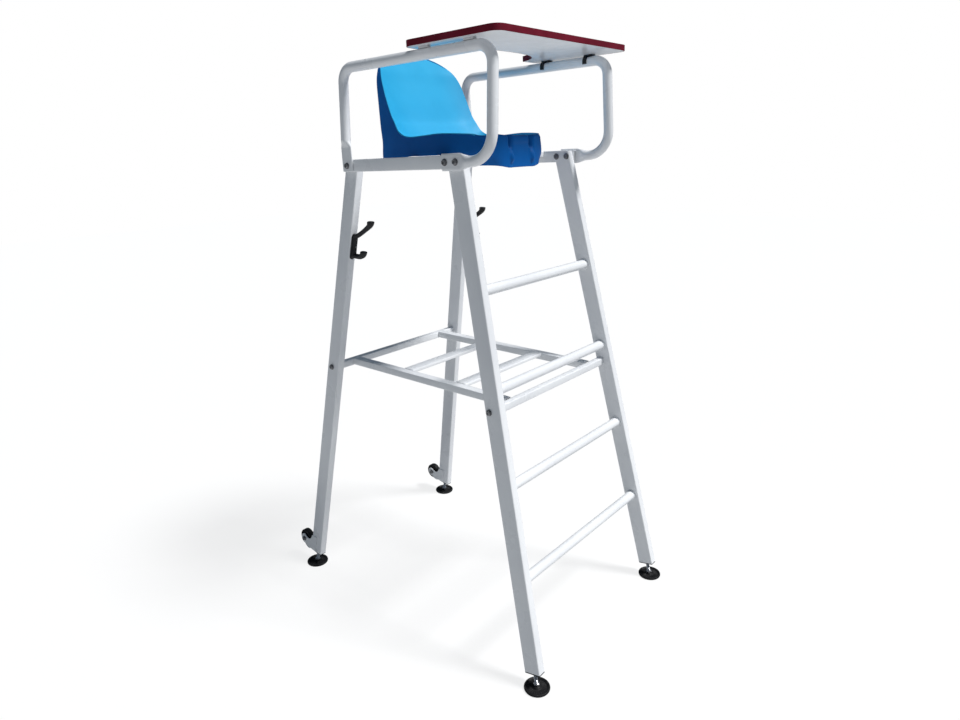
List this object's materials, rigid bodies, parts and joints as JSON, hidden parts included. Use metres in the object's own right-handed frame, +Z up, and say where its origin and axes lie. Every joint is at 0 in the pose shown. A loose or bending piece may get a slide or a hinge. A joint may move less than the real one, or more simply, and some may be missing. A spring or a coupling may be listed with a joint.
{
  "type": "tennis umpire chair",
  "caption": "Tall court-side umpire chair with a ladder front, moulded seat, armrest hoops, flip-up desk, shelf rack, levelling feet and transport wheels.",
  "frame": {"origin": "on the floor, under the middle of the bounding box", "axes": "+Z up, +X towards the sitter's left, -Y towards the ladder, which the sitter faces"},
  "size_m": [0.8788, 1.2818, 1.9864],
  "materials": {
    "paint": "satin white powder coat",
    "seat": "semi-gloss moulded blue plastic",
    "desk": "pale laminate",
    "rest_pads": "white bumper pads",
    "edging": "dark red edge strip",
    "black_plastic": "black moulded plastic",
    "pad_rubber": "black foot pad",
    "wheel_rubber": "black solid wheel",
    "bolt_steel": "dull zinc"
  },
  "bodies": {
    "frame": {"rung_1": "paint", "rung_2": "paint", "rung_3": "paint", "rung_4": "paint", "shelf_bar_front": "paint", "shelf_bar_rear": "paint", "shelf_side_bar_right": "paint", "shelf_side_bar_left": "paint", "shelf_slat_1": "paint", "shelf_slat_2": "paint", "shelf_slat_3": "paint", "seat_carrier_front": "paint", "seat_carrier_rear": "paint", "seat_shell": "seat", "leg_front_right": "paint", "leg_plug_front_right": "black_plastic", "shelf_bolt_front_right": "bolt_steel", "leg_rear_right": "paint", "leg_plug_rear_right": "black_plastic", "shelf_bolt_rear_right": "bolt_steel", "seat_rail_right": "paint", "armrest_hoop_right": "paint", "rail_bolt_front_outer_right": "bolt_steel", "rail_bolt_front_inner_right": "bolt_steel", "rail_bolt_rear_right": "bolt_steel", "seat_bolt_front_right": "bolt_steel", "seat_bolt_rear_right": "bolt_steel", "wheel_bracket_right": "paint", "wheel_axle_right": "bolt_steel", "coat_hook_right": "black_plastic", "leg_front_left": "paint", "leg_plug_front_left": "black_plastic", "shelf_bolt_front_left": "bolt_steel", "leg_rear_left": "paint", "leg_plug_rear_left": "black_plastic", "shelf_bolt_rear_left": "bolt_steel", "seat_rail_left": "paint", "armrest_hoop_left": "paint", "rail_bolt_front_outer_left": "bolt_steel", "rail_bolt_front_inner_left": "bolt_steel", "rail_bolt_rear_left": "bolt_steel", "seat_bolt_front_left": "bolt_steel", "seat_bolt_rear_left": "bolt_steel", "wheel_bracket_left": "paint", "wheel_axle_left": "bolt_steel", "coat_hook_left": "black_plastic"},
    "desk": {"desk_board": "desk", "desk_edge_band": "edging", "desk_clip_front": "black_plastic", "desk_clip_rear": "black_plastic", "desk_rest_pad_front": "rest_pads", "desk_rest_pad_rear": "rest_pads"},
    "foot_front_right": {"levelling_foot_front_right": "pad_rubber"},
    "foot_rear_right": {"levelling_foot_rear_right": "pad_rubber"},
    "wheel_right": {"transport_wheel_right": "wheel_rubber"},
    "foot_front_left": {"levelling_foot_front_left": "pad_rubber"},
    "foot_rear_left": {"levelling_foot_rear_left": "pad_rubber"},
    "wheel_left": {"transport_wheel_left": "wheel_rubber"}
  },
  "joints": [
    {"name": "desk_hinge", "type": "hinge", "parent": "frame", "child": "desk", "pos_m": [0.30298, -0.21226, 1.94002], "axis": [0, 0.9997, -0.0262], "range_deg": [0, 95]},
    {"name": "foot_front_right_screw", "type": "slide", "parent": "frame", "child": "foot_front_right", "axis": [-0.0651, -0.2226, -0.9727], "range_m": [0, 0.02]},
    {"name": "foot_rear_right_screw", "type": "slide", "parent": "frame", "child": "foot_rear_right", "axis": [-0.0687, 0.1816, -0.981], "range_m": [0, 0.02]},
    {"name": "wheel_right_spin", "type": "hinge", "parent": "frame", "child": "wheel_right", "pos_m": [-0.39008, 0.60593, 0.096], "axis": [1, 0, 0], "continuous": true},
    {"name": "foot_front_left_screw", "type": "slide", "parent": "frame", "child": "foot_front_left", "axis": [0.0651, -0.2226, -0.9727], "range_m": [0, 0.02]},
    {"name": "foot_rear_left_screw", "type": "slide", "parent": "frame", "child": "foot_rear_left", "axis": [0.0687, 0.1816, -0.981], "range_m": [0, 0.02]},
    {"name": "wheel_left_spin", "type": "hinge", "parent": "frame", "child": "wheel_left", "pos_m": [0.39008, 0.60593, 0.096], "axis": [1, 0, 0], "continuous": true}
  ]
}
